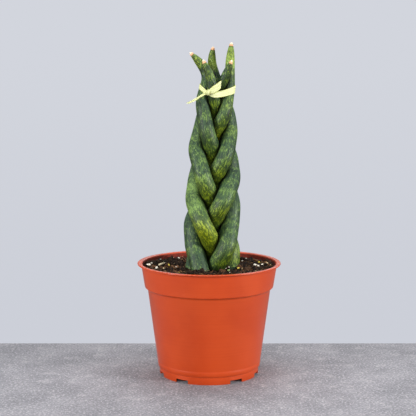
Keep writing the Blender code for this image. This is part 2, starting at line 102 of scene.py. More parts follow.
# Leaves: where each one's skin turns yellow-green, then where it has pale bands, both as
# (height, spread, strength)
LEAVES = {
    "leaf_left_tip": (
        ((0.183, 0.008, 0.40), (0.106, 0.012, 0.25), (0.262, 0.005, 0.45)),
        ((0.196, 0.003, 0.25), (0.126, 0.006, 0.40), (0.112, 0.003, 0.25), (0.264, 0.002, 0.5)),
    ),
    "leaf_white_tip": (
        ((0.155, 0.010, 0.35), (0.101, 0.010, 0.40), (0.258, 0.004, 0.30), (0.244, 0.004, 0.10)),
        (
            (0.166, 0.0025, 0.70), (0.198, 0.007, 0.55), (0.104, 0.008, 0.45), (0.183, 0.003, 0.30),
            (0.256, 0.002, 0.2),
        ),
    ),
    "leaf_back_tip": (
        ((0.170, 0.008, 0.40), (0.203, 0.008, 0.20), (0.261, 0.008, 0.60)),
        (
            (0.184, 0.003, 0.35), (0.200, 0.005, 0.30), (0.110, 0.004, 0.20), (0.261, 0.005, 1.20),
            (0.270, 0.002, 0.3),
        ),
    ),
    "leaf_front_tip": (
        ((0.222, 0.008, 0.35), (0.138, 0.009, 0.40), (0.253, 0.006, 0.30)),
        (
            (0.152, 0.004, 0.20), (0.164, 0.004, 0.12), (0.228, 0.003, 0.30), (0.250, 0.003, 0.25),
            (0.258, 0.002, 0.4),
        ),
    ),
    "leaf_right_tip": (
        ((0.202, 0.008, 0.85), (0.226, 0.012, 0.25), (0.120, 0.012, 1.0), (0.262, 0.012, 0.55)),
        (
            (0.139, 0.004, 0.90), (0.154, 0.008, 0.85), (0.227, 0.006, 0.25), (0.260, 0.009, 1.10),
            (0.272, 0.002, 0.6),
        ),
    ),
}
FOOT_LEVEL = 0.064
CUT_SPACING = 0.0015
LAST_CUT = 0.0012
LAST_STEP = 0.0005
LAST_THINNING = 0.8
# The radius of a circle with the area of the CAD's grooved 16-sided ring, against the ring's own radius
CAD_RING_SHARE = 0.970
SKIN_OVER = 0.0003
RING_SPACING = 0.0011
LEAF_SIDES = 128
GROOVES = 15
GROOVE_DEPTH = 0.00016
GROOVE_WIDTH = 0.00042
LUMPS = 0.00016
LUMP_PITCH = 90.0
POINT_LENGTH = 0.006
POINT_END = 0.00004
POINT_RINGS = 26
FULL_RELIEF_RADIUS = 0.004
MARKINGS_APART = 0.1
TIP_ROUND = 0.0021
TIP_POWER = 0.65
DRY_LENGTH = 0.0026
SHADED_REACH = 0.0036

# Tie
TIE_Z = 0.2338
TIE_LOW_X = 0.0045
TIE_BACK_RISE = 0.20
TIE_LEFT_CURVE = 32.0
TIE_RIGHT_CURVE = 8.0
TIE_HALF_WIDTH = 0.0023
TIE_MARGIN = 0.0008
TIE_WIDENING = 0.035
TIE_GAP = 0.0005
TIE_MIDDLE = (0.003, 0.0)
TIE_STEPS = 200
LEAST_FACING = 0.001
FAR_OFF = 1.0
RAFFIA = 0.00030
RIBBON_POINTS = 17
RAFFIA_APART = 0.07
RIDGE = 0.00010
RIDGE_PITCH = 500.0
FOLD_WIDTH = 0.0035
FOLD_EASE = 0.0020
CURL = 0.00035
TAIL_STEPS = 8
KNOT_X = -0.0006
KNOT_Z = 0.2362
KNOT_DEPTH = 0.0016
KNOT_REACH = 0.004
KNOT_NARROWING = 0.45
KNOT_STEPS = 40
KNOT_FLATNESS = 0.85
# The knot's two turns, as (tilt, radius, half width)
KNOT_TURNS = ((0.5, 0.00175, 0.0013), (-0.75, 0.0016, 0.0009))
# The tails' upper and lower edges, as (x from the knot, distance forward, height)
WIDE_TAIL = (
    ((0.0, 0.0002, 0.2376), (0.0032, 0.0012, 0.2406), (0.0070, 0.0020, 0.2432), (0.0105, 0.0024, 0.2458)),
    ((0.0004, 0.0002, 0.2346), (0.0042, 0.0014, 0.2352), (0.0080, 0.0024, 0.2372), (0.0101, 0.0028, 0.2392)),
)
THIN_TAIL = (
    ((0.0, 0.0, 0.2374), (-0.0060, 0.0012, 0.2342), (-0.0112, 0.0014, 0.2309), (-0.0180, 0.0008, 0.2272)),
    ((0.0004, 0.0, 0.2354), (-0.0052, 0.0016, 0.2326), (-0.0106, 0.0016, 0.2292), (-0.0160, 0.0006, 0.2268)),
)

# Soil: loose lumps, bits and fibres on the CAD's soil
SOIL_RADIUS = 0.0538
SOIL_LOWEST = 0.0855
SWELL = 1.6
SWELL_PITCH = 1.4
LUMP_TILT = 0.5
BANKING = 0.0006
BARK_LIFT = 0.0008
FIBRES = 70
FIBRE_SIDES = 6
FIBRE_STEPS = 14
FIBRE_LENGTHS = (0.003, 0.010)
FIBRE_THICKNESSES = (0.00007, 0.00016)
FIBRE_BEND = 180.0
FIBRE_INSET = 0.006
FIBRE_LIFT = 0.0007
FIBRE_ARCH = 0.0009
BIT_SIZES = (0.0006, 0.0013)
BIT_SHADE = 0.5
BIT_INSET = 0.0012
MORE_BITS_INSET = 0.0020
ABOVE_SOIL = 0.2
ABOVE_HEAP = Vector((0.0, 0.0, 0.02))
DOWN = Vector((0.0, 0.0, -1.0))
# More bits of each kind, which lie at random
MORE_BITS = (("white", 14), ("cream", 22), ("yellow", 6), ("husk", 12), ("sliver", 5), ("green", 2))
# Pale bits that the photograph shows, as (kind, pixel x, pixel y, size)
PALE_BITS = (
    ("white", 148.7, 264.6, 0.0017),
    ("white", 152.0, 263.2, 0.0013),
    ("white", 156.5, 267.8, 0.0017),
    ("sliver", 161.5, 264.0, 0.0042),
    ("yellow", 169.0, 265.0, 0.0015),
    ("white", 179.0, 258.3, 0.0014),
    ("white", 246.0, 258.5, 0.0010),
    ("white", 250.6, 255.2, 0.0016),
    ("white", 242.5, 261.0, 0.0010),
    ("white", 255.5, 264.8, 0.0016),
    ("yellow", 259.0, 262.3, 0.0015),
    ("white", 258.5, 265.8, 0.0012),
    ("white", 262.6, 264.4, 0.0012),
    ("cream", 267.0, 263.0, 0.0013),
    ("white", 269.5, 260.2, 0.0011),
    ("cream", 270.5, 265.0, 0.0013),
    ("white", 274.0, 265.0, 0.0012),
    ("husk", 219.5, 264.6, 0.0021),
    ("white", 222.8, 263.0, 0.0012),
    ("husk", 222.0, 267.5, 0.0022),
    ("white", 225.3, 268.4, 0.0014),
    ("cream", 218.0, 269.8, 0.0013),
    ("green", 228.6, 270.4, 0.0016),
    ("yellow", 238.4, 268.2, 0.0015),
    ("green", 190.0, 269.7, 0.0014),
    ("cream", 164.0, 268.3, 0.0010),
    ("white", 230.0, 272.6, 0.0011),
)


def linear(red, green, blue):
    """An opaque colour from its 0 to 255 display values."""
    shares = [value / 255 for value in (red, green, blue)]
    return (*(s / 12.92 if s <= 0.04045 else ((s + 0.055) / 1.055) ** 2.4 for s in shares), 1.0)


def linked(name, data):
    """An object that holds this data, in the scene."""
    made = bpy.data.objects.new(name, data)
    bpy.context.scene.collection.objects.link(made)
    return made


# Node trees

def new_material(name):
    material = bpy.data.materials.new(name)
    material.use_nodes = True
    return material, material.node_tree, material.node_tree.nodes["Principled BSDF"]


def feed(tree, node, inputs):
    """Links a node's inputs to other sockets, or sets them to values."""
    for name, value in inputs.items():
        if isinstance(value, bpy.types.NodeSocket):
            tree.links.new(value, node.inputs[name])
        else:
            node.inputs[name].default_value = value


def add(tree, kind, inputs=None, **settings):
    """A node with its settings made and its inputs fed."""
    node = tree.nodes.new(kind)
    for name, value in settings.items():
        setattr(node, name, value)
    feed(tree, node, inputs or {})
    return node


def attribute(tree, name, output="Fac"):
    return add(tree, "ShaderNodeAttribute", attribute_name=name).outputs[output]


def vector_math(tree, operation, first, second):
    return add(tree, "ShaderNodeVectorMath", {0: first, 1: second}, operation=operation).outputs["Vector"]


def cloud(tree, vector, scale, detail, roughness, distortion=0.0):
    """Noise with one scale, or with a scale for each axis."""
    if isinstance(scale, tuple):
        vector, scale = vector_math(tree, "MULTIPLY", vector, scale), 1.0
    values = {"Vector": vector, "Scale": scale, "Detail": detail, "Roughness": roughness}
    return add(tree, "ShaderNodeTexNoise", {**values, "Distortion": distortion}).outputs["Fac"]


def ramp(tree, value, low, high, to_low=0.0, to_high=1.0):
    values = {"Value": value, "From Min": low, "From Max": high, "To Min": to_low, "To Max": to_high}
    return add(tree, "ShaderNodeMapRange", values, interpolation_type="SMOOTHSTEP").outputs["Result"]


def math_node(tree, operation, first, second):
    return add(tree, "ShaderNodeMath", {0: first, 1: second}, operation=operation).outputs["Value"]


def product(tree, first, second):
    return math_node(tree, "MULTIPLY", first, second)


def plus(tree, first, second, share=1.0):
    """The first value with a share of the second added."""
    return math_node(tree, "ADD", first, product(tree, second, share))


def mix(tree, factor, first, second, blend="MIX"):
    inputs = {0: factor, 6: first, 7: second}
    return add(tree, "ShaderNodeMix", inputs, data_type="RGBA", blend_type=blend).outputs[2]


def bump(tree, height, strength, distance):
    inputs = {"Height": height, "Strength": strength, "Distance": distance}
    return add(tree, "ShaderNodeBump", inputs).outputs["Normal"]


def dress(tree, shader, colour, roughness, normal, specular=0.5):
    """Feeds a Principled shader."""
    inputs = {"Base Color": colour, "Roughness": roughness, "Normal": normal, "Specular IOR Level": specular}
    feed(tree, shader, inputs)


def leaf_skin():
    """Dark green skin with lighter flecks in bands, yellower and paler where the attributes say so; painted
    sheen on top, painted shade underneath and where leaves lie close.
    """
    material, tree, shader = new_material("leaf_skin")
    rest = attribute(tree, "rest", "Vector")
    yellow, pale, dry, painted_crevice_shade, faces_up = (
        attribute(tree, name) for name in ("yellow", "pale", "dry", "painted_crevice_shade", "faces_up")
    )
    wavy = cloud(tree, rest, (150.0, 150.0, 40.0), 2.0, 0.5)
    lift = add(tree, "ShaderNodeCombineXYZ", {"Z": product(tree, wavy, 0.011)}).outputs[0]
    bands = cloud(tree, vector_math(tree, "ADD", rest, lift), (30.0, 30.0, 170.0), 1.0, 0.5)
    blotches = cloud(tree, rest, (260.0, 260.0, 150.0), 2.0, 0.55)
    flecks = cloud(tree, rest, (1250.0, 1250.0, 460.0), 2.0, 0.65, 0.3)
    specks = cloud(tree, rest, (2100.0, 2100.0, 900.0), 2.0, 0.6)
    streaks = cloud(tree, rest, (1300.0, 1300.0, 70.0), 3.0, 0.6)
    cluster = ramp(tree, bands, 0.36, 0.64)
    for value, share in ((blotches, 0.7), (pale, 1.2), (yellow, 0.7)):
        cluster = plus(tree, cluster, value, share)
    skin = mix(tree, ramp(tree, streaks, 0.36, 0.66), linear(17, 35, 25), linear(54, 82, 52))
    skin = mix(tree, ramp(tree, cluster, 0.5, 1.9, 0.0, 0.6), skin, linear(66, 94, 42))
    skin = mix(tree, ramp(tree, yellow, 0.0, 1.0, 0.0, 0.75), skin, linear(98, 118, 18))
    light = mix(tree, ramp(tree, yellow, 0.0, 0.8), linear(118, 146, 70), linear(168, 184, 58))
    flecked = plus(tree, flecks, cluster, 0.10)
    skin = mix(tree, ramp(tree, flecked, 0.63, 0.74, 0.0, 0.9), skin, light)
    uneven = ramp(tree, flecks, 0.38, 0.62, 0.25, 1.0)
    banded = product(tree, ramp(tree, pale, 0.3, 1.0, 0.0, 0.65), uneven)
    skin = mix(tree, banded, skin, linear(142, 176, 88))
    skin = mix(tree, ramp(tree, specks, 0.52, 0.68, 0.0, 0.7), skin, linear(13, 25, 13))
    # Painted shade: faces that turn downward are darkened and made yellower.
    under = mix(tree, 1.0, skin, linear(226, 220, 120), "MULTIPLY")
    skin = mix(tree, ramp(tree, faces_up, 0.25, -0.55), skin, under)
    # Painted sheen: faces that turn upward are made paler and bluer, like a reflection of the light from
    # above, and broken up by the specks.
    painted_sheen = product(tree, ramp(tree, faces_up, -0.1, 0.6), ramp(tree, specks, 0.3, 0.6, 1.0, 0.3))
    skin = mix(tree, product(tree, painted_sheen, 0.34), skin, linear(88, 112, 86))
    # Painted shade: near-black where another leaf lies close.
    skin = mix(tree, ramp(tree, painted_crevice_shade, 0.08, 0.80, 0.0, 0.97), skin, linear(6, 9, 4))
    dried = plus(tree, dry, specks, 0.25)
    skin = mix(tree, ramp(tree, dried, 0.42, 0.55, 0.0, 0.8), skin, linear(96, 78, 38))
    skin = mix(tree, ramp(tree, dried, 0.52, 0.66), skin, linear(228, 172, 128))
    skin = mix(tree, ramp(tree, dry, 0.66, 0.95), skin, linear(244, 226, 200))
    relief = bump(tree, plus(tree, streaks, specks, 0.5), 0.35, 0.00025)
    dress(tree, shader, skin, ramp(tree, specks, 0.3, 0.7, 0.44, 0.60), relief, 0.32)
    return material


def inside_collar(tree, place):
    """1 on the collar's inner face, and 0 on the rest of the pot."""
    flat = vector_math(tree, "MULTIPLY", place, (1.0, 1.0, 0.0))
    outward = add(tree, "ShaderNodeVectorMath", {0: flat}, operation="LENGTH").outputs["Value"]
    height = add(tree, "ShaderNodeSeparateXYZ", {0: place}).outputs["Z"]
    flare = product(tree, math_node(tree, "SUBTRACT", height, COLLAR_FOOT_Z), INNER_SLOPE)
    beyond = math_node(tree, "SUBTRACT", outward, flare)
    inner = ramp(tree, beyond, *(COLLAR_FOOT - fade for fade in INNER_FADE), 1.0, 0.0)
    return product(tree, inner, ramp(tree, height, *(COLLAR_FOOT_Z + fade for fade in SHOULDER_FADE)))


def pot_plastic():
    """Terracotta-coloured plastic with fine turned rings, and painted shade in patches inside the collar."""
    material, tree, shader = new_material("pot_plastic")
    place = add(tree, "ShaderNodeTexCoord").outputs["Object"]
    cloudy = cloud(tree, place, 28.0, 3.0, 0.55)
    grain = cloud(tree, place, 2600.0, 2.0, 0.6)
    rings = cloud(tree, place, (6.0, 6.0, 1100.0), 2.0, 0.6)
    patchy_painted_shade = ramp(tree, cloud(tree, place, 420.0, 4.0, 0.7), 0.35, 0.65, 0.75, 1.0)
    inside = inside_collar(tree, place)
    colour = mix(tree, ramp(tree, cloudy, 0.35, 0.65), linear(181, 60, 12), linear(188, 66, 16))
    colour = mix(tree, ramp(tree, rings, 0.45, 0.75, 0.0, 0.22), colour, linear(169, 51, 8))
    # Painted shade: the collar's inner face is darkened to a deep red, in patches.
    colour = mix(tree, product(tree, inside, patchy_painted_shade), colour, linear(86, 21, 10))
    roughness = plus(tree, ramp(tree, cloudy, 0.3, 0.7, 0.33, 0.39), inside, 0.55)
    relief = plus(tree, product(tree, rings, 0.7), grain, 0.3)
    dress(tree, shader, colour, roughness, bump(tree, relief, 0.12, 0.0002), 0.44)
    return material


def soil_mix():
    """Dark crumbly soil, browner on the lumps whose shade is high."""
    material, tree, shader = new_material("soil_mix")
    place = add(tree, "ShaderNodeTexCoord").outputs["Object"]
    coarse = cloud(tree, place, 420.0, 4.0, 0.65)
    fine = cloud(tree, place, 2400.0, 3.0, 0.7)
    shade = ramp(tree, attribute(tree, "shade"), 0.45, 1.0, 0.0, 0.85)
    colour = mix(tree, ramp(tree, coarse, 0.38, 0.68), linear(12, 8, 5), linear(52, 34, 22))
    colour = mix(tree, shade, colour, linear(122, 86, 58))
    colour = mix(tree, ramp(tree, fine, 0.58, 0.76, 0.0, 0.6), colour, linear(150, 118, 84))
    dress(tree, shader, colour, 0.9, bump(tree, plus(tree, coarse, fine), 0.9, 0.0005), 0.2)
    return material


def plain_bits(name, light, dark, roughness):
    """A material with small spots between a light and a dark colour."""
    material, tree, shader = new_material(name)
    place = add(tree, "ShaderNodeTexCoord").outputs["Object"]
    spots = cloud(tree, place, 1500.0, 3.0, 0.65)
    colour = mix(tree, ramp(tree, spots, 0.38, 0.62), dark, light)
    dress(tree, shader, colour, roughness, bump(tree, spots, 0.6, 0.0002))
    return material


def raffia_fibre():
    """Pale yellow-green fibres that run along the strip, with olive borders."""
    material, tree, shader = new_material("raffia")
    rest = attribute(tree, "rest", "Vector")
    fibres = cloud(tree, rest, (60.0, 3600.0, 1.0), 3.0, 0.65)
    blotches = cloud(tree, rest, (180.0, 420.0, 1.0), 2.0, 0.5)
    border = ramp(tree, attribute(tree, "border"), 0.35, 0.95, 0.0, 0.85)
    colour = mix(tree, ramp(tree, fibres, 0.36, 0.62), linear(186, 192, 114), linear(228, 231, 182))
    colour = mix(tree, ramp(tree, blotches, 0.52, 0.75, 0.0, 0.45), colour, linear(222, 222, 130))
    colour = mix(tree, border, colour, linear(172, 170, 76))
    dress(tree, shader, colour, 0.55, bump(tree, fibres, 0.5, 0.0002))
    return material


def slab_stone():
    """Grey stone with cloudy patches and light and dark speckles."""
    material, tree, shader = new_material("slab_stone")
    place = add(tree, "ShaderNodeTexCoord").outputs["Object"]
    broad = cloud(tree, place, 22.0, 5.0, 0.65)
    speckle = cloud(tree, place, 520.0, 4.0, 0.75)
    patches = cloud(tree, place, 85.0, 3.0, 0.6)
    colour = mix(tree, ramp(tree, broad, 0.35, 0.65), linear(127, 127, 132), linear(147, 146, 151))
    colour = mix(tree, ramp(tree, patches, 0.54, 0.70, 0.0, 0.30), colour, linear(188, 184, 187))
    colour = mix(tree, ramp(tree, patches, 0.30, 0.44, 0.35, 0.0), colour, linear(134, 133, 138))
    colour = mix(tree, ramp(tree, speckle, 0.51, 0.66, 0.0, 0.75), colour, linear(204, 202, 206))
    colour = mix(tree, ramp(tree, speckle, 0.34, 0.47, 0.8, 0.0), colour, linear(108, 107, 112))
    dress(tree, shader, colour, 0.8, bump(tree, speckle, 0.15, 0.0005), 0.2)
    return material


# Meshes

def finished(name, points, faces, material, slot=None, attributes=None):
    """An object from points and faces, with its attributes. One with a slot rides on the part's body."""
    mesh = bpy.data.meshes.new(name)
    mesh.from_pydata([tuple(point) for point in points], [], faces)
    mesh.materials.append(material)
    for label, values in (attributes or {}).items():
        values = np.asarray(values, np.float32)
        if values.ndim == 2:
            mesh.attributes.new(label, "FLOAT_VECTOR", "POINT").data.foreach_set("vector", values.ravel())
        else:
            mesh.attributes.new(label, "FLOAT", "POINT").data.foreach_set("value", values)
    mesh.shade_smooth()
    mesh.update()
    made = linked(name, mesh)
    if slot:
        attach(made, "root")
    return made


def tube_faces(rings, sides):
    """Quads between rings of points."""
    faces = []
    for ring in range(rings - 1):
        low, high = ring * sides, (ring + 1) * sides
        for k in range(sides):
            after = (k + 1) % sides
            faces.append((low + k, low + after, high + after, high + k))
    return faces


def surface_tree(objects):
    """A search tree of these objects' surfaces."""
    points, faces = [], []
    for each in objects:
        faces += [[len(points) + k for k in polygon.vertices] for polygon in each.data.polygons]
        points += [vertex.co.copy() for vertex in each.data.vertices]
    return BVHTree.FromPolygons(points, faces)


def full_turn(steps):
    """Evenly spaced angles once round."""
    return np.arange(steps) * 2 * math.pi / steps


# Leaves

def level_cut(corners, outward, level):
    """Area and centre of the solid's cut at this height."""
    over = corners[:, :, 2] > level
    crossed = over.any(axis=1) & ~over.all(axis=1)
    cut, facing, over = corners[crossed], outward[crossed], over[crossed]
    alone = np.where((over.sum(axis=1) == 1)[:, None], over, ~over).argmax(axis=1)
    rows = np.arange(len(cut))
    apex = cut[rows, alone]
    ends = []
    for k in (1, 2):
        other = cut[rows, (alone + k) % 3]
        share = (level - apex[:, 2]) / (other[:, 2] - apex[:, 2])
        ends.append(apex[:, :2] + share[:, None] * (other[:, :2] - apex[:, :2]))
    start, end = ends
    along = end - start
    backward = along[:, 1] * facing[:, 0] - along[:, 0] * facing[:, 1] < 0
    start[backward], end[backward] = end[backward], start[backward].copy()
    turn = start[:, 0] * end[:, 1] - start[:, 1] * end[:, 0]
    area = turn.sum() / 2
    return area, ((start + end) * turn[:, None]).sum(axis=0) / (6 * area)


def evened(values):
    """The same line with the facets' steps smoothed out of it."""
    kernel = np.array([1.0, 2.0, 3.0, 2.0, 1.0]) / 9.0
    padded = np.concatenate([2 * values[:1] - values[2:0:-1], values, 2 * values[-1:] - values[-2:-4:-1]])
    return np.apply_along_axis(np.convolve, 0, padded, kernel, "valid")


def unit(vectors):
    return vectors / np.linalg.norm(vectors, axis=-1, keepdims=True)


def leaf_line(node):
    """Centres and radii up a leaf, read from level cuts through its CAD solid, ending at its tip."""
    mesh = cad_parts[node].data
    mesh.calc_loop_triangles()
    points = np.array([vertex.co for vertex in mesh.vertices])
    corners = points[np.array([triangle.vertices for triangle in mesh.loop_triangles])]
    outward = np.cross(corners[:, 1] - corners[:, 0], corners[:, 2] - corners[:, 0])
    tip = points[points[:, 2].argmax()]
    levels = np.arange(FOOT_LEVEL, tip[2] - LAST_CUT, CUT_SPACING)
    cuts = [level_cut(corners, outward, level) for level in levels]
    centres = evened(np.array([(*centre, level) for (area, centre), level in zip(cuts, levels)]))
    steepness = np.abs(unit(np.gradient(centres, axis=0))[:, 2])
    radii = evened(np.sqrt(np.array([area for area, centre in cuts]) * steepness / math.pi)) / CAD_RING_SHARE
    heading = unit(centres[-1] - centres[-4])
    end = centres[-1] + heading * max(LAST_STEP, (tip - centres[-1]).dot(heading))
    return np.vstack([centres, end]), np.append(radii, radii[-1] * LAST_THINNING)


def along_line(centres):
    return np.concatenate([[0.0], np.cumsum(np.linalg.norm(np.diff(centres, axis=0), axis=1))])


def frames_along(centres):
    """Two directions across the line at each centre, carried along it without twist."""
    tangents = unit(np.gradient(centres, axis=0))
    sides = []
    side = np.array([1.0, 0.0, 0.0])
    for tangent in tangents:
        side = unit(side - tangent * side.dot(tangent))
        sides.append(side)
    sides = np.array(sides)
    return sides, np.cross(tangents, sides)


def groove_relief(draw, along, angles, radii):
    """Depth of the lengthwise grooves at each ring and angle."""
    relief = np.zeros((len(along), len(angles)))
    for k in range(GROOVES):
        middle = 2 * math.pi * (k + draw.uniform(-0.3, 0.3)) / GROOVES
        phase, pitch = draw.uniform(0, 2 * math.pi), draw.uniform(60.0, 140.0)
        strength = draw.uniform(0.35, 1.0) * (0.65 + 0.35 * np.sin(along * pitch + phase))
        wander = 0.05 * np.sin(along * draw.uniform(20.0, 60.0) + phase)
        off = angles[None, :] - middle - wander[:, None]
        off = (off + math.pi) % (2 * math.pi) - math.pi
        relief += strength[:, None] * np.exp(-((off * radii[:, None] / GROOVE_WIDTH) ** 2))
    return GROOVE_DEPTH * relief


def closeness(name, points):
    """How near each point lies to another leaf: 1 where they touch, 0 past the shaded reach."""
    others = surface_tree([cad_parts[other] for other in LEAVES if other != name])
    near = [others.find_nearest(Vector(point), SHADED_REACH)[3] for point in points]
    return np.array([0.0 if distance is None else 1 - distance / SHADED_REACH for distance in near])


def make_leaf(name, zones, number, line, skin):
    """A leaf's skin along its line, with rings closer together towards the tip."""
    centres, radii = line
    draw = random.Random("%s skin" % name)
    lengths = along_line(centres)
    total = lengths[-1]
    body = np.arange(0.0, total - POINT_LENGTH, RING_SPACING)
    point = total - np.geomspace(POINT_LENGTH, POINT_END, POINT_RINGS)
    along = np.concatenate([body, point])
    rings = np.stack([np.interp(along, lengths, centres[:, axis]) for axis in range(3)], axis=1)
    radius = np.interp(along, lengths, radii)
    left = np.clip((total - along) / TIP_ROUND, 0.0, 1.0)
    radius = radius * (1 - (1 - left) ** 2) ** TIP_POWER
    sides, others = frames_along(rings)
    angles = full_turn(LEAF_SIDES)
    around = np.stack([np.cos(angles), np.sin(angles)])
    rest = np.empty((len(along), LEAF_SIDES, 3))
    rest[..., 0] = radius[:, None] * around[0] + MARKINGS_APART * number
    rest[..., 1] = radius[:, None] * around[1]
    rest[..., 2] = along[:, None]
    lumps = [noise.noise(Vector(place) * LUMP_PITCH) for place in rest.reshape(-1, 3)]
    lumps = np.array(lumps).reshape(rest.shape[:2])
    fade = np.clip(radius / FULL_RELIEF_RADIUS, 0.0, 1.0)[:, None]
    reach = radius[:, None] + fade * (SKIN_OVER + LUMPS * lumps - groove_relief(draw, along, angles, radius))
    outward = sides[:, None, :] * around[0][None, :, None] + others[:, None, :] * around[1][None, :, None]
    points = (rings[:, None, :] + reach[..., None] * outward).reshape(-1, 3)
    height = np.repeat(rings[:, 2], LEAF_SIDES)
    yellow, pale = (
        sum(strength * np.exp(-(((height - z) / spread) ** 2)) for z, spread, strength in kind)
        for kind in zones
    )
    dry = np.repeat(np.clip(1.0 - (total - along) / (2 * DRY_LENGTH), 0.0, 1.0), LEAF_SIDES)
    faces = tube_faces(len(along), LEAF_SIDES)
    faces.append(tuple(range(LEAF_SIDES))[::-1])
    faces.append(tuple(range(len(points) - LEAF_SIDES, len(points))))
    attributes = {
        "rest": rest.reshape(-1, 3),
        "yellow": np.clip(yellow, 0.0, 1.0),
        "pale": np.clip(pale, 0.0, 1.0),
        "dry": dry,
        # closeness to the other leaves, which sets the painted shade between them
        "painted_crevice_shade": closeness(name, points),
        "faces_up": outward.reshape(-1, 3)[:, 2],
    }
    leaf = finished(name + "_skin", points, faces, skin, "leaf_skin", attributes)
    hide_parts(name)


# Pot

def rounded_profile():
    """The wall's outline from the middle of the floor up the inside, over the rim and down to the foot."""
    under = RIM_TOP - RIM_EDGE
    bead = RIM_EDGE / 2
    edge = [
        (RIM_RADIUS - bead + bead * math.sin(turn), RIM_TOP - bead + bead * math.cos(turn))
        for turn in np.linspace(0.0, math.pi, 11)
    ]
    lip = [
        (COLLAR_TOP - WALL + LIP_WIDTH * (1 - math.sin(turn)), RIM_TOP - LIP_DROP + LIP_DROP * math.cos(turn))
        for turn in np.linspace(math.pi / 2, 0.0, 7)
    ]
    collar_edge = [
        (COLLAR_FOOT + 0.0001, COLLAR_FOOT_Z + 0.0008),
        (COLLAR_FOOT, COLLAR_FOOT_Z + 0.0004),
        (COLLAR_FOOT - 0.0003, COLLAR_FOOT_Z + 0.0001),
        (COLLAR_FOOT - 0.0007, COLLAR_FOOT_Z),
    ]
    return (
        [
            (0.0, FLOOR_TOP),
            (FOOT - WALL - 0.0012, FLOOR_TOP),
            (FOOT - WALL, FLOOR_TOP + 0.0010),
            (BODY_FOOT - WALL, FOOT_Z + 0.0012),
            (BODY_TOP - WALL, BODY_TOP_Z + 0.0006),
            (COLLAR_FOOT - WALL, COLLAR_FOOT_Z + 0.0010),
        ]
        + lip
        + edge
        + [
            (COLLAR_TOP + 0.0009, under),
            (COLLAR_TOP + 0.0004, under - 0.0002),
            (COLLAR_TOP + 0.0001, under - 0.0006),
            (COLLAR_TOP - 0.0001, under - 0.0015),
        ]
        + collar_edge
        + [
            (BODY_TOP + 0.0003, BODY_TOP_Z + 0.0003),
            (BODY_TOP, BODY_TOP_Z - 0.0002),
            (BODY_FOOT + LINE_OUT, LINE_Z + 0.0003),
            (BODY_FOOT + LINE_OUT - 0.0001, LINE_Z),
            (BODY_FOOT + LINE_OUT, LINE_Z - 0.0003),
            (BODY_FOOT, FOOT_Z + 0.0002),
            (BODY_FOOT - 0.0002, FOOT_Z),
            (FOOT, FOOT_Z - FOOT_STEP),
            (FOOT - 0.0002, 0.0003),
            (FOOT - 0.0004, 0.0),
            (FOOT - FOOT_WALL + 0.0002, 0.0),
            (FOOT - FOOT_WALL, 0.0003),
            (FOOT - FOOT_WALL, FLOOR_UNDER),
            (0.0, FLOOR_UNDER),
        ]
    )


def subtract(target, cutter):
    """Cuts the cutter's shape out of the target, and removes the cutter."""
    modifier = target.modifiers.new(cutter.name, "BOOLEAN")
    modifier.operation = "DIFFERENCE"
    modifier.object = cutter
    bpy.context.view_layer.update()
    graph = bpy.context.evaluated_depsgraph_get()
    mesh = bpy.data.meshes.new_from_object(target.evaluated_get(graph))
    target.modifiers.clear()
    target.data = mesh
    bpy.data.objects.remove(cutter, do_unlink=True)


def object_from(name, bm):
    mesh = bpy.data.meshes.new(name)
    bm.to_mesh(mesh)
    bm.free()
    return linked(name, mesh)


def make_pot(plastic):
    """The wall turned round the axis, then the notches and drain holes cut out of it."""
    profile = rounded_profile()
    ring = profile[1:-1]
    angles = full_turn(POT_STEPS)
    points = [(radius * math.cos(a), radius * math.sin(a), height) for radius, height in ring for a in angles]
    faces = tube_faces(len(ring), POT_STEPS)
    inner, outer = len(points), len(points) + 1
    points += [(0.0, 0.0, profile[0][1]), (0.0, 0.0, profile[-1][1])]
    last = (len(ring) - 1) * POT_STEPS
    for k in range(POT_STEPS):
        after = (k + 1) % POT_STEPS
        faces.append((inner, after, k))
        faces.append((outer, last + k, last + after))
    faces = [face[::-1] for face in faces]
    pot = finished("pot_wall", points, faces, plastic)
    bm = bmesh.new()
    for angle in NOTCH_ANGLES:
        for side in (-1, 1):
            turn = Matrix.Rotation(math.radians(side * angle - 90.0), 4, "Z")
            size = Matrix.Diagonal((NOTCH_DEPTH, NOTCH_WIDTH, 2 * NOTCH_HEIGHT, 1.0))
            bmesh.ops.create_cube(bm, size=1.0, matrix=turn @ Matrix.Translation((FOOT, 0.0, 0.0)) @ size)
    subtract(pot, object_from("notches", bm))
    bm = bmesh.new()
    for k in range(DRAIN_COUNT):
        turn = Matrix.Rotation(2 * math.pi * (k + 0.5) / DRAIN_COUNT, 4, "Z")
        bmesh.ops.create_cone(
            bm, cap_ends=True, segments=DRAIN_SIDES, radius1=DRAIN_RADIUS, radius2=DRAIN_RADIUS,
            depth=DRAIN_DEPTH, matrix=turn @ Matrix.Translation((DRAIN_CIRCLE, 0.0, FLOOR_UNDER)),
        )
    subtract(pot, object_from("drains", bm))
    pot.data.shade_smooth()
    pot.data.set_sharp_from_angle(angle=SHARP_EDGE)
    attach(pot, "root")
    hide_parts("pot")


# Soil

def soil_finder():
    """A function that gives the soil's height at (x, y), or None over a leaf's hole or past the wall."""
    tree = surface_tree([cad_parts["soil"]])

    def height(x, y):
        hit = tree.ray_cast(Vector((x, y, ABOVE_SOIL)), DOWN)[0]
        return hit.z if hit is not None and hit.z > SOIL_LOWEST else None

    return height


def icosphere(subdivisions):
    """The points and faces of a ball."""
    bm = bmesh.new()
    bmesh.ops.create_icosphere(bm, subdivisions=subdivisions, radius=1.0)
    points = np.array([v.co for v in bm.verts])
    faces = np.array([[v.index for v in f.verts] for f in bm.faces])
    bm.free()
    return points, faces


def scattered(draw, height, reach):
    """A random (x, y, z) on the soil."""
    while True:
        away, angle = reach * math.sqrt(draw.random()), draw.uniform(0, 2 * math.pi)
        x, y = away * math.cos(angle), away * math.sin(angle)
        z = height(x, y)
        if z is not None:
            return Vector((x, y, z))


